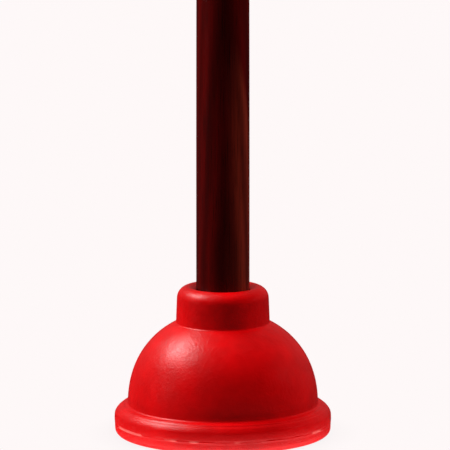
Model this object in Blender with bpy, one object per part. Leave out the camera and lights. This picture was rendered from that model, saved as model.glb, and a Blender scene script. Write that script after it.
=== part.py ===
"""Force-cup plunger: a turned wooden handle fixed in the neck of a red rubber cup.

Run it with blender --background --python part.py, or from Blender's text editor.
Units are metres and +Z is up. The origin is the centre of the cup's sealing face, on the
surface that the plunger stands on, and every piece is turned about the Z axis.

The cup is one rubber moulding. It is built here as the three stretches that behave differently
in use: the stiff rim that stays on the surface, the thin wall that gives, and the thick neck
that goes down with the handle. A wood screw and a wide washer hold the handle in the neck.
"""

import math

import bmesh
import bpy

# Driving dimensions
RIM_DIAMETER = 0.102
HANDLE_DIAMETER = 0.025
OVERALL_HEIGHT = 0.380
WALL_THICKNESS = 0.0038
GAP = 0.0003  # left between pieces, or stretches of the cup, that touch on the real plunger

# Rim: a rounded bead above the mould's parting line, and a slightly smaller band below it
RIM_RADIUS = RIM_DIAMETER / 2
BAND_RADIUS = RIM_RADIUS - 0.0003
BAND_ROUND = 0.0029
PARTING_Z = 0.0058
SHOULDER_Z = 0.0087
MOUTH_CHAMFER = 0.0012

# Wall: a dome whose outline is a superellipse standing on the rim
DOME_FOOT_Z = 0.0142
DOME_FOOT_RADIUS = 0.0448
DOME_RISE = 0.0437
DOME_POWER = 2.16
WALL_STEPS = 10

# Neck: a thick collar with a blind socket for the handle, and a crown that the screw clamps
NECK_BASE_Z = 0.0532
NECK_TOP_Z = 0.0703
NECK_BASE_RADIUS = 0.0220
NECK_TOP_RADIUS = 0.0216
NECK_ROUND = 0.0055
MOUTH_ROUND = 0.0012
SOCKET_FLOOR_Z = 0.0555
CROWN_THICKNESS = 0.0055

# Handle: a straight dowel with a rounded grip end
HANDLE_RADIUS = HANDLE_DIAMETER / 2
HANDLE_END_ROUND = 0.0085
HANDLE_FOOT_CHAMFER = 0.0015

# Fixing: a 5 x 45 mm pan-head wood screw through a wide washer
SCREW_RADIUS = 0.0025
SCREW_LENGTH = 0.045
SCREW_POINT = 0.007
SCREW_HEAD_RADIUS = 0.0050
SCREW_HEAD_HEIGHT = 0.0031
RECESS_LENGTH = 0.0052
RECESS_WIDTH = 0.0011
RECESS_DEPTH = 0.0018
WASHER_RADIUS = 0.0125
WASHER_THICKNESS = 0.0015
CLEARANCE_HOLE_RADIUS = SCREW_RADIUS + GAP

# Places worked out from the above, from the crown down to the screw's head and up the screw
CROWN_UNDERSIDE_Z = SOCKET_FLOOR_Z - CROWN_THICKNESS
WASHER_Z = CROWN_UNDERSIDE_Z - GAP - WASHER_THICKNESS
SCREW_SEAT_Z = WASHER_Z - GAP
HANDLE_FOOT_Z = SOCKET_FLOOR_Z + GAP
HANDLE_LENGTH = OVERALL_HEIGHT - HANDLE_FOOT_Z
PILOT_DEPTH = SCREW_SEAT_Z + SCREW_LENGTH + GAP - HANDLE_FOOT_Z

CUP_SEGMENTS = 56
HANDLE_SEGMENTS = 36
FIXING_SEGMENTS = 24
SHARP_ANGLE = math.radians(35)


def arc(centre, radii, first, last, steps):
    """Points (r, z) of a quarter or part of an ellipse, from angle first to last in degrees."""
    angles = [math.radians(first + (last - first) * i / steps) for i in range(steps + 1)]
    return [
        (centre[0] + radii[0] * math.cos(a), centre[1] + radii[1] * math.sin(a)) for a in angles
    ]


def dome_height(inset, radius):
    """The height of the dome's outline at a radius. Inset is its offset inwards."""
    share = (radius / (DOME_FOOT_RADIUS - inset)) ** DOME_POWER
    return DOME_FOOT_Z + (DOME_RISE - inset) * (1 - share) ** (1 / DOME_POWER)


def dome_radius(inset, height):
    """The radius of the dome's outline at a height. Inset is its offset inwards."""
    share = ((height - DOME_FOOT_Z) / (DOME_RISE - inset)) ** DOME_POWER
    return (DOME_FOOT_RADIUS - inset) * (1 - share) ** (1 / DOME_POWER)


def dome_outline(inset, lowest, smallest_radius, steps):
    """The dome's outline upwards from the height lowest, in to smallest_radius by the neck."""
    start = math.asin(((lowest - DOME_FOOT_Z) / (DOME_RISE - inset)) ** (DOME_POWER / 2))
    end = math.acos((smallest_radius / (DOME_FOOT_RADIUS - inset)) ** (DOME_POWER / 2))
    points = []
    for i in range(steps + 1):
        angle = start + (end - start) * i / steps
        radius = (DOME_FOOT_RADIUS - inset) * math.cos(angle) ** (2 / DOME_POWER)
        points.append((radius, dome_height(inset, radius)))
    return points


def new_material(name, colour, roughness, metallic=0.0):
    """A Principled material of one plain finish."""
    material = bpy.data.materials.new(name)
    material.use_nodes = True
    shader = material.node_tree.nodes["Principled BSDF"]
    shader.inputs["Base Color"].default_value = (*colour, 1.0)
    shader.inputs["Roughness"].default_value = roughness
    shader.inputs["Metallic"].default_value = metallic
    return material


def turned(name, outline, segments, material, place=0.0, parent=None):
    """A closed solid turned about Z from its outline of (r, z) points.

    An outline that starts and ends on the axis makes a solid piece. Any other outline is
    closed from its last point to its first and makes a ring.
    """
    shape = bmesh.new()
    points = [shape.verts.new((radius, 0.0, height)) for radius, height in outline]
    pairs = list(zip(points, points[1:]))
    if outline[0][0] > 0.0:
        pairs.append((points[-1], points[0]))
    edges = [shape.edges.new(pair) for pair in pairs]
    bmesh.ops.spin(
        shape,
        geom=points + edges,
        cent=(0.0, 0.0, 0.0),
        axis=(0.0, 0.0, 1.0),
        angle=math.tau,
        steps=segments,
        use_merge=True,
    )
    bmesh.ops.remove_doubles(shape, verts=shape.verts, dist=1e-6)
    bmesh.ops.recalc_face_normals(shape, faces=shape.faces)
    mesh = bpy.data.meshes.new(name)
    shape.to_mesh(mesh)
    shape.free()
    mesh.shade_smooth()
    mesh.set_sharp_from_angle(angle=SHARP_ANGLE)
    mesh.materials.append(material)
    piece = bpy.data.objects.new(name, mesh)
    piece.location.z = place
    piece.parent = parent
    bpy.context.collection.objects.link(piece)
    return piece


def make_cup_rim(rubber):
    """The stiff ring that seals on the surface, up to the crease where the wall starts."""
    shoulder = arc(
        (DOME_FOOT_RADIUS, SHOULDER_Z),
        (RIM_RADIUS - DOME_FOOT_RADIUS, DOME_FOOT_Z - SHOULDER_Z),
        90, 0, 6,
    )
    lower_edge = arc((BAND_RADIUS - BAND_ROUND, BAND_ROUND), (BAND_ROUND, BAND_ROUND), 0, -90, 4)
    inner_radius = DOME_FOOT_RADIUS - WALL_THICKNESS
    outline = [
        *shoulder,
        (RIM_RADIUS, PARTING_Z),
        (BAND_RADIUS, PARTING_Z - GAP),
        *lower_edge,
        (inner_radius + MOUTH_CHAMFER, 0.0),
        (inner_radius, MOUTH_CHAMFER),
        (inner_radius, DOME_FOOT_Z),
    ]
    return turned("cup_rim", outline, CUP_SEGMENTS, rubber)


def make_cup_wall(rubber):
    """The thin dome between rim and neck, which gives when the handle is pushed."""
    foot_z = DOME_FOOT_Z + GAP
    hole_radius = NECK_BASE_RADIUS + GAP
    outer = dome_outline(0.0, foot_z, hole_radius, WALL_STEPS)
    inner = dome_outline(WALL_THICKNESS, foot_z, hole_radius, WALL_STEPS)
    return turned("cup_wall", [*reversed(outer), *inner], CUP_SEGMENTS, rubber)


def make_cup_neck(rubber, parent):
    """The collar round the handle and the thick crown below it, with the screw's hole."""
    socket_radius = HANDLE_RADIUS + GAP
    outer_edge = arc(
        (NECK_TOP_RADIUS - NECK_ROUND, NECK_TOP_Z - NECK_ROUND), (NECK_ROUND, NECK_ROUND), 90, 0, 5
    )
    mouth_edge = arc(
        (socket_radius + MOUTH_ROUND, NECK_TOP_Z - MOUTH_ROUND), (MOUTH_ROUND, MOUTH_ROUND), 180, 90, 3
    )
    wall_underside_z = dome_height(WALL_THICKNESS, NECK_BASE_RADIUS)
    crown_radius = dome_radius(WALL_THICKNESS, CROWN_UNDERSIDE_Z)
    outline = [
        *outer_edge,
        (NECK_BASE_RADIUS, NECK_BASE_Z),
        (NECK_BASE_RADIUS, wall_underside_z),
        (crown_radius, CROWN_UNDERSIDE_Z),
        (CLEARANCE_HOLE_RADIUS, CROWN_UNDERSIDE_Z),
        (CLEARANCE_HOLE_RADIUS, SOCKET_FLOOR_Z),
        (socket_radius, SOCKET_FLOOR_Z),
        *mouth_edge,
    ]
    local = [(radius, height - NECK_BASE_Z) for radius, height in outline]
    return turned("cup_neck", local, CUP_SEGMENTS, rubber, 0.0, parent)


def make_handle(wood, parent):
    """The dowel, from its foot in the socket to its rounded grip end, with the screw's pilot."""
    end_round = arc(
        (0.0, HANDLE_LENGTH - HANDLE_END_ROUND), (HANDLE_RADIUS, HANDLE_END_ROUND), 90, 0, 9
    )
    outline = [
        (0.0, HANDLE_LENGTH),
        *end_round[1:],
        (HANDLE_RADIUS, HANDLE_FOOT_CHAMFER),
        (HANDLE_RADIUS - HANDLE_FOOT_CHAMFER, 0.0),
        (CLEARANCE_HOLE_RADIUS, 0.0),
        (CLEARANCE_HOLE_RADIUS, PILOT_DEPTH - SCREW_POINT),
        (0.0, PILOT_DEPTH + GAP),
    ]
    place = HANDLE_FOOT_Z - NECK_BASE_Z
    return turned("handle", outline, HANDLE_SEGMENTS, wood, place, parent)


def make_washer(steel, parent):
    """The wide washer that spreads the screw's pull over the rubber crown."""
    outline = [
        (WASHER_RADIUS, WASHER_THICKNESS),
        (WASHER_RADIUS, 0.0),
        (CLEARANCE_HOLE_RADIUS, 0.0),
        (CLEARANCE_HOLE_RADIUS, WASHER_THICKNESS),
    ]
    place = WASHER_Z - NECK_BASE_Z
    return turned("washer", outline, FIXING_SEGMENTS, steel, place, parent)


def make_fixing_screw(steel, parent):
    """The wood screw, point up, with its pan head below the washer and a cross recess."""
    head_edge = arc((0.0, 0.0), (SCREW_HEAD_RADIUS, -SCREW_HEAD_HEIGHT), 0, 90, 6)
    outline = [
        (0.0, SCREW_LENGTH),
        (SCREW_RADIUS, SCREW_LENGTH - SCREW_POINT),
        (SCREW_RADIUS, 0.0),
        *head_edge[:-1],
        (0.0, -SCREW_HEAD_HEIGHT),
    ]
    place = SCREW_SEAT_Z - NECK_BASE_Z
    screw = turned("fixing_screw", outline, FIXING_SEGMENTS, steel, place, parent)
    for name, size in (
        ("recess_across_x", (RECESS_LENGTH, RECESS_WIDTH)),
        ("recess_across_y", (RECESS_WIDTH, RECESS_LENGTH)),
    ):
        cut_recess(screw, name, size)
    return screw


def cut_recess(screw, name, size):
    """Cuts one bar of the cross recess into the screw's head, from below."""
    shape = bmesh.new()
    bmesh.ops.create_cube(shape, size=1.0)
    bmesh.ops.scale(shape, verts=shape.verts, vec=(*size, 2 * RECESS_DEPTH))
    mesh = bpy.data.meshes.new(name)
    shape.to_mesh(mesh)
    shape.free()
    cutter = bpy.data.objects.new(name, mesh)
    cutter.parent = screw
    cutter.location.z = -SCREW_HEAD_HEIGHT
    cutter.hide_render = True
    cutter.display_type = "WIRE"
    bpy.context.collection.objects.link(cutter)
    cut = screw.modifiers.new(name, "BOOLEAN")
    cut.operation = "DIFFERENCE"
    cut.object = cutter


def main():
    for old in list(bpy.data.objects):
        bpy.data.objects.remove(old)
    rubber = new_material("red_rubber", (0.60, 0.006, 0.009), 0.42)
    wood = new_material("stained_wood", (0.055, 0.010, 0.006), 0.35)
    steel = new_material("zinc_plated_steel", (0.62, 0.62, 0.60), 0.30, 1.0)

    # The pieces on this empty go down together when the cup is pressed
    stroke = bpy.data.objects.new("stroke", None)
    stroke.location.z = NECK_BASE_Z
    bpy.context.collection.objects.link(stroke)

    make_cup_rim(rubber)
    make_cup_wall(rubber)
    make_cup_neck(rubber, stroke)
    make_handle(wood, stroke)
    make_washer(steel, stroke)
    make_fixing_screw(steel, stroke)


main()
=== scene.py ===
"""Looks of the force-cup plunger, laid out as an add-on and run as a script.

Every length is in metres, +Z is up, and the origin is the middle of the cup's sealing face.
The panel's operators each make one piece round the fixed CAD frame: the rubber cup, the turned
handle, the washer, the fixing screw, and the stage that they are shown on.
"""

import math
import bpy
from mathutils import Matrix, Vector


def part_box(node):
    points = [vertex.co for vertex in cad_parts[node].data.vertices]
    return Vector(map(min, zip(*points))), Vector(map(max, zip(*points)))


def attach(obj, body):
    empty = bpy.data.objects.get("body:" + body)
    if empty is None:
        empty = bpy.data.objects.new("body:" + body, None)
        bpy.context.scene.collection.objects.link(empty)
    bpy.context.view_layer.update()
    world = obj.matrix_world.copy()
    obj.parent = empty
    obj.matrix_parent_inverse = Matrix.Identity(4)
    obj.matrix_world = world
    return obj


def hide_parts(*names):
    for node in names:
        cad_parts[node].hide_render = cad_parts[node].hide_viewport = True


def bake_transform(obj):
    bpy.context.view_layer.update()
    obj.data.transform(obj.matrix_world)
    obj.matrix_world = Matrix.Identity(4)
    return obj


bl_info = {
    "name": "Force-cup plunger",
    "version": (1, 0, 0),
    "blender": (4, 5, 0),
    "location": "3D View > Sidebar > Plunger",
    "description": "Models and finishes a small plunger with a rubber cup and a turned handle",
    "category": "Add Mesh",
}

import bpy
from bpy.props import FloatProperty, FloatVectorProperty, IntProperty, PointerProperty
from mathutils import Matrix, Vector

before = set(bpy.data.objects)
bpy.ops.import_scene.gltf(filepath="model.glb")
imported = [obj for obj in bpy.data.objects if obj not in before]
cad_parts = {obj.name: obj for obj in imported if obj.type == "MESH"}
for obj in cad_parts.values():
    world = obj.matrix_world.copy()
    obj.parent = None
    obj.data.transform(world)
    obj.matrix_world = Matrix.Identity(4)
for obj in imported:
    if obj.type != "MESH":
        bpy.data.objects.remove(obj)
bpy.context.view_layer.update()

RIM_LOW, RIM_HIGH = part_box("cup_rim")
WALL_LOW, WALL_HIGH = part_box("cup_wall")
NECK_LOW, NECK_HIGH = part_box("cup_neck")
HANDLE_LOW, HANDLE_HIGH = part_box("handle")
WASHER_LOW, WASHER_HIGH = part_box("washer")
SCREW_LOW, SCREW_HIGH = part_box("fixing_screw")

MM = 0.001
ORIGIN = (0.0, 0.0, 0.0)
MERGE_DISTANCE = 0.01 * MM
ROUNDING_LEVELS = 2
CRISP_ANGLE = 40  # degrees, past which an edge of metal stays crisp
SLOT_TAPER = (0.45, 0.6, 1.0)  # a slot's length and width at its bottom, of those at its top
SOCKET_FLOOR = HANDLE_LOW.z - 0.1 * MM

LATE_WOOD = (0.010, 0.0005, 0.0004)
DARK_STREAK = (0.014, 0.0008, 0.0006)
OPEN_PORE = (0.008, 0.001, 0.0006)
DULL_ZINC = (0.36, 0.37, 0.38)
WARM_WHITE = (1.0, 0.98, 0.97)

FLOOR_RADIUS = 12.0
FLOOR_BOUNCE = 0.06  # how much of the light the floor throws back on the piece
FLOOR_SHEEN = 0.02  # how bright the floor looks in reflections
ROOM_FRONT, ROOM_BACK = 0.02, 0.35  # strength of the room's light from either side
ROOM_SHEEN = 0.35  # share of the room's light that shows in reflections

CAMERA_PLACE = (1.0 * MM, -3.06, 0.6586)
CAMERA_PITCH = 10.356  # degrees below the horizon
CAMERA_LENS = 531.0
CAMERA_SENSOR = 36.0


class CupSettings(bpy.types.PropertyGroup):
    """Sizes and colours of the rubber cup."""

    rim_radius: FloatProperty(
        name="Rim radius",
        description="Radius of the rounded bead above the parting line",
        default=RIM_HIGH.x,
        unit="LENGTH",
    )
    band_inset: FloatProperty(
        name="Band inset",
        description="How much smaller the rim is below the parting line",
        default=0.2 * MM,
        unit="LENGTH",
    )
    parting_height: FloatProperty(
        name="Parting line height",
        description="Height of the line where the two halves of the mould meet",
        default=5.8 * MM,
        unit="LENGTH",
    )
    flash_height: FloatProperty(
        name="Flash height",
        description="Height of the thin ridge of rubber along the parting line",
        default=0.3 * MM,
        unit="LENGTH",
    )
    groove_depth: FloatProperty(
        name="Groove depth",
        description="Depth of the fine groove round the rim's shoulder",
        default=0.22 * MM,
        unit="LENGTH",
    )
    crease_round: FloatProperty(
        name="Crease rounding",
        description="Radius that fills the creases where the dome meets the rim and the neck",
        default=1.0 * MM,
        unit="LENGTH",
    )
    wall_thickness: FloatProperty(
        name="Wall thickness",
        description="Thickness of the dome between rim and neck",
        default=3.8 * MM,
        unit="LENGTH",
    )
    dome_rise: FloatProperty(
        name="Dome rise",
        description="Height that the dome would reach above the rim without the neck",
        default=43.7 * MM,
        unit="LENGTH",
    )
    dome_power: FloatProperty(
        name="Dome fullness",
        description="Exponent of the dome's superellipse: 2 is a plain ellipse",
        default=2.16,
    )
    neck_top_radius: FloatProperty(
        name="Neck top radius",
        description="Radius of the neck below its rounded top edge",
        default=21.6 * MM,
        unit="LENGTH",
    )
    neck_round: FloatProperty(
        name="Neck rounding",
        description="Radius of the neck's rounded top edge",
        default=5.5 * MM,
        unit="LENGTH",
    )
    crown_thickness: FloatProperty(
        name="Crown thickness",
        description="Thickness of the rubber between the handle's foot and the washer",
        default=5.5 * MM,
        unit="LENGTH",
    )
    sides: IntProperty(
        name="Sides",
        description="Sides of each ring before subdivision",
        default=48,
        min=16,
    )
    colour: FloatVectorProperty(
        name="Rubber colour",
        description="Colour of the clean rubber",
        subtype="COLOR",
        size=3,
        default=(0.62, 0.0007, 0.0018),
    )
    deep_colour: FloatVectorProperty(
        name="Deep rubber colour",
        description="Colour of the slightly darker clouds in the rubber",
        subtype="COLOR",
        size=3,
        default=(0.50, 0.0004, 0.0012),
    )
    # Painted glints: this colour paints highlights in dashes along the parting line, not marks of
    # trimmed flash.
    painted_glint_colour: FloatVectorProperty(
        name="Scuff colour",
        description="Colour of the pale marks where the flash was trimmed off",
        subtype="COLOR",
        size=3,
        default=(0.95, 0.20, 0.17),
    )


class HandleSettings(bpy.types.PropertyGroup):
    """Sizes and colours of the wooden handle."""

    radius: FloatProperty(
        name="Handle radius",
        description="Radius of the handle where it enters the cup",
        default=HANDLE_HIGH.x,
        unit="LENGTH",
    )
    grip_radius: FloatProperty(
        name="Grip end radius",
        description="Radius of the handle just below its rounded end",
        default=HANDLE_HIGH.x - 0.6 * MM,
        unit="LENGTH",
    )
    end_round: FloatProperty(
        name="End rounding",
        description="Height of the rounded grip end",
        default=8.5 * MM,
        unit="LENGTH",
    )
    sides: IntProperty(
        name="Sides",
        description="Sides of each ring before subdivision",
        default=40,
        min=16,
    )
    # Painted reflection: this colour paints the paler stripe on the handle's +X side, not
    # sapwood.
    painted_reflection: FloatVectorProperty(
        name="Sapwood",
        description="Colour of the stained sapwood",
        subtype="COLOR",
        size=3,
        default=(0.190, 0.0170, 0.0080),
    )
    heartwood: FloatVectorProperty(
        name="Heartwood",
        description="Colour of the stained heartwood",
        subtype="COLOR",
        size=3,
        default=(0.085, 0.0012, 0.0010),
    )


class FixingSettings(bpy.types.PropertyGroup):
    """Sizes and colour of the screw and its washer."""

    shank_radius: FloatProperty(
        name="Shank radius",
        description="Radius of the screw's plain shank",
        default=2.0 * MM,
        unit="LENGTH",
    )
    thread_radius: FloatProperty(
        name="Thread radius",
        description="Radius over the crests of the thread",
        default=2.5 * MM,
        unit="LENGTH",
    )
    thread_pitch: FloatProperty(
        name="Thread pitch",
        description="Distance between neighbouring crests",
        default=2.4 * MM,
        unit="LENGTH",
    )
    colour: FloatVectorProperty(
        name="Zinc colour",
        description="Colour of the bright zinc plate",
        subtype="COLOR",
        size=3,
        default=(0.60, 0.61, 0.60),
    )


class StageSettings(bpy.types.PropertyGroup):
    """The floor's colour and the strength of the lights."""

    pale: FloatVectorProperty(
        name="Stage colour",
        description="Colour of the floor and of everything behind it",
        subtype="COLOR",
        size=3,
        default=(0.991, 0.939, 0.939),
    )
    key_power: FloatProperty(
        name="Key light",
        description="Power of the large soft light, high on the left",
        default=12.8,
        unit="POWER",
    )
    left_power: FloatProperty(
        name="Left light",
        description="Power of the low diffuse light on the left",
        default=6.0,
        unit="POWER",
    )
    top_power: FloatProperty(
        name="Top light",
        description="Power of the diffuse light overhead",
        default=8.4,
        unit="POWER",
    )
    side_power: FloatProperty(
        name="Side light",
        description="Power of the diffuse light on the right",
        default=5.4,
        unit="POWER",
    )
    bounce_power: FloatProperty(
        name="Bounce light",
        description="Power of the light that the floor throws back on the foot of the cup",
        default=0.12,
        unit="POWER",
    )


# ---------------------------------------------------------------------------------------------
# Modelling
# ---------------------------------------------------------------------------------------------


def arc(centre, radii, first, last, steps):
    """Points (radius, height) along part of an ellipse, between two angles in degrees."""
    angles = [math.radians(first + (last - first) * i / steps) for i in range(steps + 1)]
    return [
        (centre[0] + radii[0] * math.cos(a), centre[1] + radii[1] * math.sin(a)) for a in angles
    ]


def round_corner(before, corner, after, radius, steps):
    """Points along the arc that rounds off a corner of an outline between its neighbours."""
    corner = Vector(corner)
    back = (Vector(before) - corner).normalized()
    ahead = (Vector(after) - corner).normalized()
    half = back.angle(ahead) / 2
    middle = corner + (back + ahead).normalized() * radius / math.sin(half)
    first = corner + back * radius / math.tan(half) - middle
    turn = math.copysign(math.pi - 2 * half, -back.cross(ahead))
    points = []
    for i in range(steps + 1):
        spoke = first.copy()
        spoke.rotate(Matrix.Rotation(turn * i / steps, 2))
        points.append(tuple(middle + spoke))
    return points


def select_only(piece):
    """Leaves one object selected and active, in object mode."""
    bpy.ops.object.select_all(action="DESELECT")
    piece.select_set(True)
    bpy.context.view_layer.objects.active = piece


def edit_vertices(piece, wanted):
    """Opens a piece in edit mode, with only the vertices selected whose place is wanted."""
    select_only(piece)
    bpy.ops.object.mode_set(mode="EDIT")
    bpy.ops.mesh.select_mode(type="VERT")
    bpy.ops.mesh.select_all(action="DESELECT")
    bpy.ops.object.mode_set(mode="OBJECT")
    for vertex in piece.data.vertices:
        vertex.select = wanted(vertex.co)
    bpy.ops.object.mode_set(mode="EDIT")


def finish_edit():
    """Merges what touches, turns all faces outwards and leaves edit mode."""
    bpy.ops.mesh.select_all(action="SELECT")
    bpy.ops.mesh.remove_doubles(threshold=MERGE_DISTANCE)
    bpy.ops.mesh.normals_make_consistent(inside=False)
    bpy.ops.object.mode_set(mode="OBJECT")


def fix_place():
    """Puts the place, turn and size of the selected piece into its mesh."""
    bpy.ops.object.transform_apply(location=True, rotation=True, scale=True)


def apply_modifier(piece, kind, **settings):
    """Adds a modifier with its settings to a piece, and applies it."""
    select_only(piece)
    bpy.ops.object.modifier_add(type=kind)
    modifier = piece.modifiers[-1]
    for key, value in settings.items():
        setattr(modifier, key, value)
    bpy.ops.object.modifier_apply(modifier=modifier.name)


def pull_rings(name, outline, sides, start_capped=False):
    """Extrudes a ring of edges from point to point of an outline of (radius, height).

    A last radius of zero draws the ring together in a pole. An outline that comes back to its
    first point closes there.
    """
    bpy.ops.object.select_all(action="DESELECT")
    radius, height = outline[0]
    bpy.ops.mesh.primitive_circle_add(
        vertices=sides,
        radius=radius,
        fill_type="TRIFAN" if start_capped else "NOTHING",
        location=(0.0, 0.0, height),
    )
    piece = bpy.context.object
    piece.name = name
    piece.data.name = name
    fix_place()
    bpy.ops.object.mode_set(mode="EDIT")
    bpy.ops.mesh.select_all(action="SELECT")
    bpy.ops.mesh.select_mode(type="EDGE")
    if start_capped:
        bpy.ops.mesh.region_to_loop()
    for next_radius, next_height in outline[1:]:
        bpy.ops.mesh.extrude_edges_move(
            TRANSFORM_OT_translate={"value": (0.0, 0.0, next_height - height)}
        )
        if next_radius == 0.0:
            bpy.ops.mesh.merge(type="CENTER")
            break
        share = next_radius / radius
        bpy.ops.transform.resize(value=(share, share, 1.0), center_override=ORIGIN)
        radius, height = next_radius, next_height
    finish_edit()
    return piece


def subdivide(piece, levels):
    """Rounds a piece by subdividing it."""
    apply_modifier(piece, "SUBSURF", levels=levels, render_levels=levels)


def weigh(piece, name, weight_at):
    """A vertex group whose weights come from each vertex's place."""
    group = piece.vertex_groups.new(name=name)
    for vertex in piece.data.vertices:
        weight = weight_at(vertex.co)
        if weight > 0.0:
            group.add([vertex.index], min(weight, 1.0), "REPLACE")
    return group.name


def swell(piece, height, group):
    """Raises a surface along its normals, by a height times the weights of a vertex group."""
    apply_modifier(piece, "DISPLACE", strength=height, mid_level=0.0, vertex_group=group)


def uneven(piece, name, grain, height, group, patchy=False):
    """Moves a surface along its normals by soft clouds of a given grain size.

    Plain clouds move it in and out. Patchy ones only raise it, and leave it alone in between.
    """
    clouds = bpy.data.textures.new(name, "CLOUDS")
    clouds.noise_scale = grain
    clouds.noise_depth = 1
    if patchy:
        clouds.use_color_ramp = True
        bottom, top = clouds.color_ramp.elements
        bottom.position, top.position = 0.47, 0.62
        bottom.color, top.color = (0.0, 0.0, 0.0, 1.0), (1.0, 1.0, 1.0, 1.0)
    apply_modifier(
        piece,
        "DISPLACE",
        texture=clouds,
        texture_coords="LOCAL",
        strength=height,
        mid_level=0.0 if patchy else 0.5,
        vertex_group=group,
    )


def carve_slot(piece, height, size, turn):
    """Cuts a slot of a length, width and depth, narrower at its bottom, into an underside."""
    length, width, depth = size
    bpy.ops.object.select_all(action="DESELECT")
    bpy.ops.mesh.primitive_cube_add(size=1.0, location=ORIGIN)
    cutter = bpy.context.object
    bpy.ops.transform.resize(value=(length, width, 2 * depth), center_override=ORIGIN)
    fix_place()
    edit_vertices(cutter, lambda place: place.z > 0.0)
    bpy.ops.transform.resize(value=SLOT_TAPER, center_override=(0.0, 0.0, depth))
    bpy.ops.object.mode_set(mode="OBJECT")
    bpy.ops.transform.rotate(value=turn, orient_axis="Z", center_override=ORIGIN)
    bpy.ops.transform.translate(value=(0.0, 0.0, height))
    fix_place()
    apply_modifier(piece, "BOOLEAN", operation="DIFFERENCE", solver="EXACT", object=cutter)
    bpy.data.objects.remove(cutter)


def shade_smooth(piece, sharp_degrees=None):
    """Smooth shading all over, or everywhere but on edges sharper than an angle."""
    select_only(piece)
    if sharp_degrees is None:
        bpy.ops.object.shade_smooth()
    else:
        bpy.ops.object.shade_smooth_by_angle(angle=math.radians(sharp_degrees))


def dress(piece, material):
    """Gives a piece its one material."""
    piece.data.materials.clear()
    piece.data.materials.append(material)


# ---------------------------------------------------------------------------------------------
# Materials
# ---------------------------------------------------------------------------------------------


class Nodes:
    """A node tree under construction, with short calls for the nodes it needs."""

    def __init__(self, tree):
        self.tree = tree

    def join(self, value, socket):
        """Links an output, or sets a plain value, on an input socket."""
        if isinstance(value, bpy.types.NodeSocket):
            self.tree.links.new(value, socket)
        else:
            socket.default_value = value

    def node(self, kind, inputs, **settings):
        """A new node with its settings and its inputs by name or number."""
        made = self.tree.nodes.new(kind)
        for key, value in settings.items():
            setattr(made, key, value)
        for key, value in inputs.items():
            self.join(value, made.inputs[key])
        return made

    def remap(self, value, low, high, new_low, new_high, **settings):
        """A value taken from one range to another, and kept inside it."""
        inputs = {
            "Value": value,
            "From Min": low,
            "From Max": high,
            "To Min": new_low,
            "To Max": new_high,
        }
        return self.node("ShaderNodeMapRange", inputs, **settings).outputs["Result"]

    def math(self, operation, first, second=0.0):
        """One step of arithmetic."""
        made = self.node("ShaderNodeMath", {0: first, 1: second}, operation=operation)
        return made.outputs[0]

    def split_view(self, kind, lighting, seen):
        """An output that is one shader for lighting, and another where it is seen directly."""
        path = self.node("ShaderNodeLightPath", {}).outputs["Is Camera Ray"]
        choice = self.node("ShaderNodeMixShader", {0: path, 1: lighting, 2: seen})
        self.node(kind, {"Surface": choice.outputs[0]})


class Finish(Nodes):
    """The material of a piece, whose patterns lie on the piece's own coordinates."""

    def __init__(self, name):
        self.material = bpy.data.materials.new(name)
        self.material.use_nodes = True
        super().__init__(self.material.node_tree)
        self.shader = self.tree.nodes["Principled BSDF"]
        self.place = self.node("ShaderNodeTexCoord", {}).outputs["Object"]

    def mapped(self, scale=(1.0, 1.0, 1.0), location=ORIGIN, rotation=ORIGIN):
        """The object's coordinates, moved, turned and scaled."""
        inputs = {
            "Vector": self.place, "Location": location, "Rotation": rotation, "Scale": scale
        }
        return self.node("ShaderNodeMapping", inputs).outputs["Vector"]

    def noise(self, place, scale, detail=2.0, roughness=0.5):
        """Noise between 0 and 1, its scale in features to a metre."""
        inputs = {"Vector": place, "Scale": scale, "Detail": detail, "Roughness": roughness}
        return self.node("ShaderNodeTexNoise", inputs).outputs["Fac"]

    def mix(self, share, first, second):
        """Two colours mixed by a share."""
        made = self.node("ShaderNodeMix", {}, data_type="RGBA")
        for key, value in ((0, share), (6, first), (7, second)):
            if key and not isinstance(value, bpy.types.NodeSocket):
                value = (*value[:3], 1.0)
            self.join(value, made.inputs[key])
        return made.outputs[2]

    def bump(self, height, strength, distance, below=None):
        """A bump from a height, over the bump below it if there is one."""
        inputs = {"Height": height, "Strength": strength, "Distance": distance}
        if below is not None:
            inputs["Normal"] = below
        return self.node("ShaderNodeBump", inputs).outputs["Normal"]

    def surface(self, colour, roughness, normal, **plain):
        """Joins the finished colour, roughness and bump to the shader."""
        self.join(colour, self.shader.inputs["Base Color"])
        self.join(roughness, self.shader.inputs["Roughness"])
        self.join(normal, self.shader.inputs["Normal"])
        for key, value in plain.items():
            self.shader.inputs[key.replace("_", " ")].default_value = value
        return self.material


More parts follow.
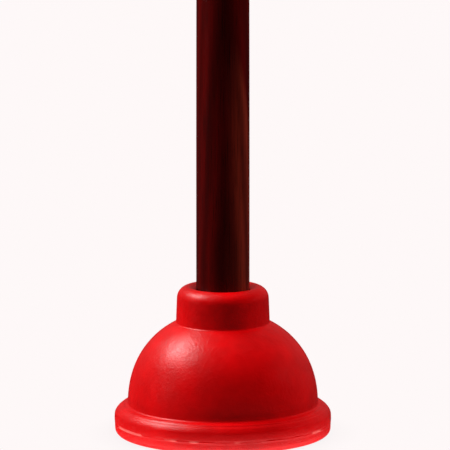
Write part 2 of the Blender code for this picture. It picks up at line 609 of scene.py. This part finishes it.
def rubber_finish(cup):
    """Red moulded rubber: a fine pebbled skin with cloudy gloss, and painted glints in dashes
    along its parting line.
    """
    rubber = Finish("red_rubber")
    clouds = rubber.noise(rubber.place, 70.0, 4.0, 0.6)
    blotches = rubber.noise(rubber.place, 260.0, 2.0, 0.5)
    pebbles = rubber.noise(rubber.place, 760.0, 3.0, 0.7)
    colour = rubber.mix(rubber.remap(clouds, 0.35, 0.65, 0.0, 1.0), cup.deep_colour, cup.colour)
    roughness = rubber.remap(blotches, 0.3, 0.7, 0.31, 0.40)
    height = rubber.node("ShaderNodeSeparateXYZ", {"Vector": rubber.place}).outputs["Z"]
    off_line = rubber.math("ABSOLUTE", rubber.math("SUBTRACT", height, cup.parting_height))
    line = rubber.remap(off_line, 0.20 * MM, 0.75 * MM, 1.0, 0.0)
    across = {0: rubber.mapped(scale=(1.0, 1.0, 0.0))}
    radius = rubber.node("ShaderNodeVectorMath", across, operation="LENGTH").outputs["Value"]
    outside = rubber.remap(radius, cup.rim_radius - 2.0 * MM, cup.rim_radius - 1.5 * MM, 0.0, 1.0)
    line = rubber.math("MULTIPLY", line, outside)
    # Painted glints: pale dashes along the parting line paint the highlights that the flash ridge
    # catches.
    dashes = rubber.noise(rubber.mapped(rotation=(0.0, 0.0, -0.19)), 95.0, 1.0, 0.5)
    painted_glints = rubber.math("MULTIPLY", line, rubber.remap(dashes, 0.54, 0.62, 0.0, 0.5))
    colour = rubber.mix(painted_glints, colour, cup.painted_glint_colour)
    waves = rubber.bump(blotches, 0.14, 0.30 * MM)
    skin = rubber.bump(pebbles, 0.8, 0.22 * MM, waves)
    return rubber.surface(colour, roughness, skin, IOR=1.5, Specular_IOR_Level=0.29)


def wood_finish(handle):
    """Dark stained heartwood under a satin lacquer, with a painted reflection: a paler stripe
    down its +X side, below an arch near the top.
    """
    wood = Finish("stained_wood")
    bent = wood.mapped(location=(-0.006, 0.0305, 0.0), rotation=(-0.055, 0.012, 0.0))
    rings = wood.node(
        "ShaderNodeTexWave",
        {
            "Vector": bent,
            "Scale": 48.0,
            "Distortion": 2.2,
            "Detail": 2.0,
            "Detail Scale": 0.35,
            "Detail Roughness": 0.5,
        },
        wave_type="RINGS",
        rings_direction="Z",
        wave_profile="SIN",
    ).outputs["Fac"]
    streaks = wood.noise(wood.mapped(scale=(1.0, 1.0, 0.035)), 900.0, 4.0, 0.65)
    pores = wood.noise(wood.mapped(scale=(1.0, 1.0, 0.02)), 3200.0, 2.0, 0.5)
    broad = wood.noise(wood.mapped(scale=(1.0, 1.0, 0.15)), 60.0, 2.0, 0.5)
    place = wood.node("ShaderNodeSeparateXYZ", {"Vector": wood.place}).outputs
    # Painted reflection: the paler colour on the +X side, below an arch, stands in for a
    # reflection on the lacquer.
    wander = wood.math("ADD", place["X"], wood.remap(broad, 0.2, 0.8, -2.5 * MM, 2.5 * MM))
    reflection_side = wood.remap(wander, 0.0, 7.0 * MM, 0.0, 1.0)
    off_crown = wood.math("ABSOLUTE", wood.math("SUBTRACT", place["X"], 5.0 * MM))
    bow = wood.math("MULTIPLY", wood.math("POWER", off_crown, 2.0), 700.0)
    arched = wood.math("ADD", place["Z"], bow)
    below = wood.remap(arched, 178.0 * MM, 190.0 * MM, 1.0, 0.0)
    stain_and_reflection = wood.mix(wood.math("MULTIPLY", reflection_side, below), handle.heartwood, handle.painted_reflection)
    figure = wood.mix(wood.remap(rings, 0.0, 1.0, 0.0, 0.55), stain_and_reflection, LATE_WOOD)
    streaked = wood.mix(wood.remap(streaks, 0.35, 0.7, 0.0, 0.5), figure, DARK_STREAK)
    stained = wood.mix(wood.remap(broad, 0.3, 0.7, 0.0, 0.3), streaked, handle.heartwood)
    open_pores = wood.remap(pores, 0.58, 0.72, 0.0, 0.8)
    colour = wood.mix(open_pores, stained, OPEN_PORE)
    roughness = wood.remap(streaks, 0.3, 0.7, 0.30, 0.42)
    grain = wood.bump(streaks, 0.10, 0.10 * MM)
    pitted = wood.bump(wood.math("MULTIPLY", open_pores, -1.0), 0.18, 0.08 * MM, grain)
    return wood.surface(colour, roughness, pitted, IOR=1.5, Specular_IOR_Level=0.12)


def zinc_finish(fixing):
    """Bright zinc plate with rolling marks and a little bloom."""
    zinc = Finish("zinc_plated_steel")
    bloom = zinc.noise(zinc.place, 260.0, 4.0, 0.6)
    marks = zinc.noise(zinc.mapped(scale=(1.0, 0.04, 1.0)), 4200.0, 2.0, 0.5)
    colour = zinc.mix(zinc.remap(bloom, 0.45, 0.75, 0.0, 0.6), fixing.colour, DULL_ZINC)
    roughness = zinc.remap(bloom, 0.35, 0.75, 0.24, 0.48)
    brushed = zinc.bump(marks, 0.12, 0.04 * MM)
    return zinc.surface(colour, roughness, brushed, Metallic=1.0)


# ---------------------------------------------------------------------------------------------
# Pieces
# ---------------------------------------------------------------------------------------------


def dome_points(cup, inset, low, high_radius, steps):
    """The dome's outline from a height up to a radius, offset inwards by inset."""
    foot_radius = WALL_HIGH.x - inset
    foot_height = RIM_HIGH.z
    rise = cup.dome_rise - inset
    power = cup.dome_power
    start = math.asin(((low - foot_height) / rise) ** (power / 2))
    end = math.acos((high_radius / foot_radius) ** (power / 2))
    points = []
    for i in range(steps + 1):
        angle = start + (end - start) * i / steps
        radius = foot_radius * math.cos(angle) ** (2 / power)
        height = foot_height + rise * math.sin(angle) ** (2 / power)
        points.append((radius, height))
    return points


def rim_outline(cup):
    """The rim from the edge of its flat underside, round the outside, to the dome's crease."""
    bead = cup.rim_radius
    band = bead - cup.band_inset
    parting = cup.parting_height
    edge = 2.9 * MM
    shoulder_height = 8.74 * MM
    crease_radius = WALL_HIGH.x
    crease_height = RIM_HIGH.z
    step = (bead + band) / 2
    middle = (crease_radius, shoulder_height)
    radii = (bead - crease_radius, crease_height - shoulder_height)
    shoulder = arc(middle, radii, 0, 90, 12)
    low_lip, high_lip = arc(middle, radii, 44, 58, 1)
    shallower = tuple(size - cup.groove_depth for size in radii)
    groove = [low_lip, *arc(middle, shallower, 48, 53, 1), high_lip]
    corner = (crease_radius, crease_height - 0.1 * MM)
    crease = round_corner(
        shoulder[9], corner, (crease_radius, WALL_HIGH.z), cup.crease_round, 4
    )
    return [
        *arc((band - edge, edge), (edge, edge), -90, 0, 5),
        (band, parting - 1.7 * MM),
        (band, parting - 0.9 * MM),
        (step, parting - 0.45 * MM),
        (step, parting),
        (step, parting + 0.45 * MM),
        (bead, parting + 0.9 * MM),
        (bead, parting + 1.6 * MM),
        *shoulder[1:4],
        *groove,
        *shoulder[8:10],
        *crease,
    ]


def neck_outline(cup):
    """The neck from the dome's upper crease, over its rounded top and down into the socket."""
    base = NECK_HIGH.x
    top = cup.neck_top_radius
    height = NECK_HIGH.z
    turn = cup.neck_round
    base_height = WALL_HIGH.z
    socket = HANDLE_HIGH.x + 0.03 * MM
    dome = dome_points(cup, 0.0, RIM_HIGH.z, base + 3.0 * MM, 1)
    above = (base - 0.1 * MM, base_height + 4.0 * MM)
    return [
        *round_corner(dome[-1], (base, base_height), above, cup.crease_round, 4),
        above,
        (top + 0.1 * MM, height - turn - 3.0 * MM),
        *arc((top - turn, height - turn), (turn, turn), 0, 96, 7),
        (socket + 1.1 * MM, height - 0.9 * MM),
        (socket + 0.25 * MM, height - 1.5 * MM),
        (socket, height - 1.9 * MM),
        (socket, height - 6.0 * MM),
        (socket, SOCKET_FLOOR + 0.4 * MM),
        (socket, SOCKET_FLOOR),
        (socket - 0.4 * MM, SOCKET_FLOOR),
    ]


def crown_outline(cup):
    """The screw's hole through the crown, and the inside of the cup down to its mouth."""
    hole = SCREW_HIGH.x / 2 + 0.15 * MM
    underside = HANDLE_LOW.z - cup.crown_thickness - 0.3 * MM
    thickness = cup.wall_thickness
    crown_edge = 18.6 * MM
    inside = dome_points(cup, thickness, RIM_HIGH.z + 0.5 * MM, crown_edge + 2.0 * MM, 9)
    mouth = WALL_HIGH.x - thickness
    edge = 1.2 * MM
    return [
        (hole + 0.3 * MM, SOCKET_FLOOR),
        (hole, SOCKET_FLOOR - 0.3 * MM),
        (hole, underside + 0.3 * MM),
        (hole + 0.3 * MM, underside),
        (crown_edge, underside),
        (crown_edge + 1.0 * MM, underside - 0.05 * MM),
        *reversed(inside),
        (mouth, RIM_HIGH.z - 4.0 * MM),
        (mouth, edge + 1.0 * MM),
        *arc((mouth + edge, edge), (edge, edge), 180, 270, 3),
    ]


def wide_by_rounding(outline, sides):
    """Rings made wider by what subdividing a polygon of so many sides takes off them."""
    share = 3.0 / (2.0 + math.cos(math.tau / sides))
    return [(radius * share, height) for radius, height in outline]


class PLUNGER_OT_make_cup(bpy.types.Operator):
    """Make the rubber cup in one piece, from its sealing face to the socket in its neck"""

    bl_idname = "plunger.make_cup"
    bl_label = "Rubber cup"

    @staticmethod
    def on_flash(cup, place):
        """How far a point belongs to the thin ridge along the parting line."""
        if math.hypot(place.x, place.y) <= cup.rim_radius - 1.0 * MM:
            return 0.0
        return 1.0 - abs(place.z - cup.parting_height) / (0.5 * MM)

    @staticmethod
    def on_skin(cup, place):
        """How far a point may be uneven: not in the socket, and not on the sealing face."""
        in_socket = math.hypot(place.x, place.y) < HANDLE_HIGH.x + 2.0 * MM
        if in_socket and place.z > HANDLE_LOW.z - cup.crown_thickness:
            return 0.0
        return place.z / (3.0 * MM)

    def execute(self, context):
        cup = context.scene.plunger_cup
        low = RIM_HIGH.z + cup.crease_round + 0.8 * MM
        dome = dome_points(cup, 0.0, low, NECK_HIGH.x + cup.crease_round + 0.4 * MM, 12)
        outline = [*rim_outline(cup), *dome, *neck_outline(cup), *crown_outline(cup)]
        outline.append(outline[0])
        piece = pull_rings("rubber_cup", wide_by_rounding(outline, cup.sides), cup.sides)
        subdivide(piece, ROUNDING_LEVELS)
        ridge = weigh(piece, "flash", lambda place: self.on_flash(cup, place))
        uneven(piece, "flash_runs", 6.0 * MM, cup.flash_height, ridge, patchy=True)
        skin = weigh(piece, "skin", lambda place: self.on_skin(cup, place))
        uneven(piece, "moulding_unevenness", 22.0 * MM, 0.14 * MM, skin)
        shade_smooth(piece)
        dress(piece, rubber_finish(cup))
        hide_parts("cup_rim", "cup_wall", "cup_neck")
        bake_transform(piece)
        return {"FINISHED"}


class PLUNGER_OT_make_handle(bpy.types.Operator):
    """Make the turned handle, with its rounded end and the pilot hole for the screw"""

    bl_idname = "plunger.make_handle"
    bl_label = "Turned handle"

    def execute(self, context):
        handle = context.scene.plunger_handle
        foot, top = HANDLE_LOW.z, HANDLE_HIGH.z
        grip, radius = handle.grip_radius, handle.radius
        pilot = SCREW_HIGH.x / 2 + 0.2 * MM
        pilot_top = SCREW_HIGH.z + 0.3 * MM
        turn = handle.end_round
        crown = arc((0.0, top - turn), (grip, turn), 84, 0, 8)
        taper_start = NECK_HIGH.z + 100.0 * MM
        outline = [
            *crown,
            (grip + 0.15 * MM, top - 40.0 * MM),
            (grip + 0.30 * MM, top - 90.0 * MM),
            (radius - 0.05 * MM, taper_start),
            (radius, NECK_HIGH.z + 60.0 * MM),
            (radius, NECK_HIGH.z + 8.0 * MM),
            (radius, foot + 4.0 * MM),
            (radius, foot + 1.6 * MM),
            (radius - 0.3 * MM, foot + 0.6 * MM),
            (radius - 1.3 * MM, foot),
            (pilot + 2.0 * MM, foot),
            (pilot + 0.2 * MM, foot),
            (pilot, foot + 0.2 * MM),
            (pilot, foot + 8.0 * MM),
            (pilot, pilot_top - 7.0 * MM),
            (0.4 * MM, pilot_top),
            (0.0, pilot_top),
        ]
        piece = pull_rings(
            "wooden_handle", wide_by_rounding(outline, handle.sides), handle.sides, True
        )
        subdivide(piece, ROUNDING_LEVELS)
        shade_smooth(piece)
        dress(piece, wood_finish(handle))
        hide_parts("handle")
        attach(piece, "shaft")
        return {"FINISHED"}


class PLUNGER_OT_make_washer(bpy.types.Operator):
    """Make the wide washer under the screw's head"""

    bl_idname = "plunger.make_washer"
    bl_label = "Washer"

    def execute(self, context):
        low, high, radius = WASHER_LOW.z, WASHER_HIGH.z, WASHER_HIGH.x
        hole = SCREW_HIGH.x / 2 + 0.3 * MM
        edge, burr = 0.35 * MM, 0.12 * MM
        outline = [
            (hole + edge, low),
            *arc((radius - edge, low + edge), (edge, edge), -90, 0, 4),
            *arc((radius - burr, high - burr), (burr, burr), 0, 90, 2),
            *arc((hole + burr, high - burr), (burr, burr), 90, 180, 2),
            *arc((hole + edge, low + edge), (edge, edge), 180, 270, 4),
        ]
        piece = pull_rings("penny_washer", outline, 96)
        shade_smooth(piece, CRISP_ANGLE)
        dress(piece, zinc_finish(context.scene.plunger_fixing))
        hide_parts("washer")
        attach(piece, "shaft")
        return {"FINISHED"}


class PLUNGER_OT_make_screw(bpy.types.Operator):
    """Make the wood screw, with its pan head, cross recess and thread"""

    bl_idname = "plunger.make_screw"
    bl_label = "Fixing screw"

    @staticmethod
    def crest(fixing, place, start, end):
        """How far a point of the shank belongs to the thread's crest, from 0 to 1."""
        turns = place.z / fixing.thread_pitch - math.atan2(place.y, place.x) / math.tau
        across = abs(2.0 * (turns % 1.0) - 1.0)
        run_out = min((place.z - start) / MM, (end - place.z) / (2.5 * MM), 1.0)
        return max(0.0, 1.0 - across / 0.55) * max(0.0, run_out)

    def execute(self, context):
        fixing = context.scene.plunger_fixing
        low, high, head = SCREW_LOW.z, SCREW_HIGH.z, SCREW_HIGH.x
        seat = WASHER_LOW.z - 0.05 * MM
        shank = fixing.shank_radius
        depth = seat - low
        start, end = seat + 9.0 * MM, high - 5.0 * MM
        rings = round((end - start) / (fixing.thread_pitch / 10))
        outline = [
            *arc((0.0, low + 0.55 * depth), (head, 0.55 * depth), -84, 0, 8),
            *arc((head - 0.2 * MM, seat - 0.2 * MM), (0.2 * MM, 0.2 * MM), 0, 90, 3),
            (shank + 0.3 * MM, seat),
            (shank, seat + 0.4 * MM),
            *[(shank, start + (end - start) * i / rings) for i in range(rings + 1)],
            *[(shank * (1.0 - 0.08 * i), end + 0.45 * i * MM) for i in range(1, 11)],
            (0.12 * MM, high),
            (0.0, high),
        ]
        piece = pull_rings("fixing_wood_screw", outline, 48, True)
        helix = weigh(piece, "thread", lambda place: self.crest(fixing, place, start, high))
        swell(piece, fixing.thread_radius - shank, helix)
        slot = (head * 1.1, head * 0.24, depth * 1.1)
        for turn in (0.0, math.pi / 2):
            carve_slot(piece, low, slot, turn)
        shade_smooth(piece, CRISP_ANGLE)
        dress(piece, zinc_finish(fixing))
        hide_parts("fixing_screw")
        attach(piece, "shaft")
        return {"FINISHED"}


# ---------------------------------------------------------------------------------------------
# Stage
# ---------------------------------------------------------------------------------------------


def soft_light(name, power, place, aim, width, height=0.0, glossy=False):
    """A soft box at a place, facing a point: a rectangle, or a disc if it has no height.

    Only a glossy one shows in reflections.
    """
    lamp = bpy.data.lights.new(name, "AREA")
    lamp.shape = "RECTANGLE" if height else "DISK"
    lamp.size = width
    lamp.size_y = height
    lamp.energy = power
    light = bpy.data.objects.new(name, lamp)
    bpy.context.scene.collection.objects.link(light)
    light.location = place
    light.rotation_euler = (Vector(place) - Vector(aim)).to_track_quat("Z", "Y").to_euler()
    light.visible_camera = False
    light.visible_glossy = glossy


def stage_finish(pale):
    """A pale floor that looks evenly lit, with a soft contact shadow, and bounces some light."""
    material = bpy.data.materials.new("pale_floor")
    material.use_nodes = True
    floor = Nodes(material.node_tree)
    floor.tree.nodes.clear()
    glossy = floor.node("ShaderNodeLightPath", {}).outputs["Is Glossy Ray"]
    bounce = floor.remap(glossy, 0.0, 1.0, FLOOR_BOUNCE, FLOOR_SHEEN)
    matt = floor.node("ShaderNodeBsdfDiffuse", {"Color": bounce}).outputs[0]
    contact = floor.node("ShaderNodeAmbientOcclusion", {"Distance": 15.0 * MM}, samples=8)
    shade = floor.remap(contact.outputs["AO"], 0.2, 1.0, 0.93, 1.0)
    seen = floor.node("ShaderNodeEmission", {"Color": (*pale, 1.0), "Strength": shade}).outputs[0]
    floor.split_view("ShaderNodeOutputMaterial", matt, seen)
    return material


def pale_world(pale):
    """An even pale surround to look at, that lights like a room bright behind, dark in front."""
    world = bpy.data.worlds.new("pale_room")
    bpy.context.scene.world = world
    world.use_nodes = True
    room = Nodes(world.node_tree)
    room.tree.nodes.clear()
    direction = room.node("ShaderNodeTexCoord", {}).outputs["Generated"]
    depth = room.node("ShaderNodeSeparateXYZ", {0: direction}).outputs["Y"]
    light = room.remap(depth, -0.2, 0.9, ROOM_FRONT, ROOM_BACK, interpolation_type="SMOOTHSTEP")
    glossy = room.node("ShaderNodeLightPath", {}).outputs["Is Glossy Ray"]
    strength = room.math("MULTIPLY", light, room.remap(glossy, 0.0, 1.0, 1.0, ROOM_SHEEN))
    walls = {"Color": (*WARM_WHITE, 1.0), "Strength": strength}
    lighting = room.node("ShaderNodeBackground", walls).outputs[0]
    seen = room.node("ShaderNodeBackground", {"Color": (*pale, 1.0)}).outputs[0]
    room.split_view("ShaderNodeOutputWorld", lighting, seen)


class PLUNGER_OT_set_stage(bpy.types.Operator):
    """Set the pale floor, the soft lights and the camera"""

    bl_idname = "plunger.set_stage"
    bl_label = "Stage"

    def execute(self, context):
        stage = context.scene.plunger_stage
        bpy.ops.object.select_all(action="DESELECT")
        bpy.ops.mesh.primitive_circle_add(vertices=64, radius=FLOOR_RADIUS, fill_type="NGON")
        floor = context.object
        floor.name = "pale_floor"
        floor.data.materials.append(stage_finish(stage.pale))
        pale_world(stage.pale)
        middle = (0.0, 0.0, 45.0 * MM)
        soft_light(
            "key_softbox", stage.key_power, (-0.70, 0.17, 0.90), middle, 0.50, 0.34, glossy=True
        )
        soft_light("left_softbox", stage.left_power, (-0.95, -0.25, 0.25), middle, 0.3)
        soft_light("top_softbox", stage.top_power, (0.20, -0.05, 1.20), middle, 0.35)
        soft_light("side_softbox", stage.side_power, (0.95, 0.0, 0.42), middle, 0.3)
        soft_light("bounce_disc", stage.bounce_power, (0.0, 0.0, 0.3 * MM), middle, 0.124)

        lens = bpy.data.cameras.new("camera")
        lens.lens = CAMERA_LENS
        lens.sensor_width = CAMERA_SENSOR
        camera = bpy.data.objects.new("camera", lens)
        context.scene.collection.objects.link(camera)
        camera.location = CAMERA_PLACE
        camera.rotation_euler = (math.radians(90.0 - CAMERA_PITCH), 0.0, 0.0)
        context.scene.camera = camera
        context.scene.view_settings.view_transform = "Standard"
        return {"FINISHED"}


class PLUNGER_PT_panel(bpy.types.Panel):
    """The add-on's panel in the 3D view's sidebar"""

    bl_idname = "PLUNGER_PT_panel"
    bl_label = "Plunger"
    bl_space_type = "VIEW_3D"
    bl_region_type = "UI"
    bl_category = "Plunger"

    def draw(self, context):
        for name in SETTINGS:
            box = self.layout.box()
            settings = getattr(context.scene, name)
            for key in settings.bl_rna.properties.keys():
                if key not in ("name", "rna_type"):
                    box.prop(settings, key)
        for operator in PIECE_OPERATORS:
            self.layout.operator(operator.bl_idname)


SETTINGS = {
    "plunger_cup": CupSettings,
    "plunger_handle": HandleSettings,
    "plunger_fixing": FixingSettings,
    "plunger_stage": StageSettings,
}
PIECE_OPERATORS = (
    PLUNGER_OT_make_cup,
    PLUNGER_OT_make_handle,
    PLUNGER_OT_make_washer,
    PLUNGER_OT_make_screw,
    PLUNGER_OT_set_stage,
)
CLASSES = (*SETTINGS.values(), *PIECE_OPERATORS, PLUNGER_PT_panel)


def register():
    for made in CLASSES:
        bpy.utils.register_class(made)
    for name, settings in SETTINGS.items():
        setattr(bpy.types.Scene, name, PointerProperty(type=settings))


def unregister():
    for name in SETTINGS:
        delattr(bpy.types.Scene, name)
    for made in reversed(CLASSES):
        bpy.utils.unregister_class(made)


def main():
    register()
    bpy.ops.plunger.make_cup()
    bpy.ops.plunger.make_handle()
    bpy.ops.plunger.make_washer()
    bpy.ops.plunger.make_screw()
    bpy.ops.plunger.set_stage()


if __name__ == "__main__":
    main()
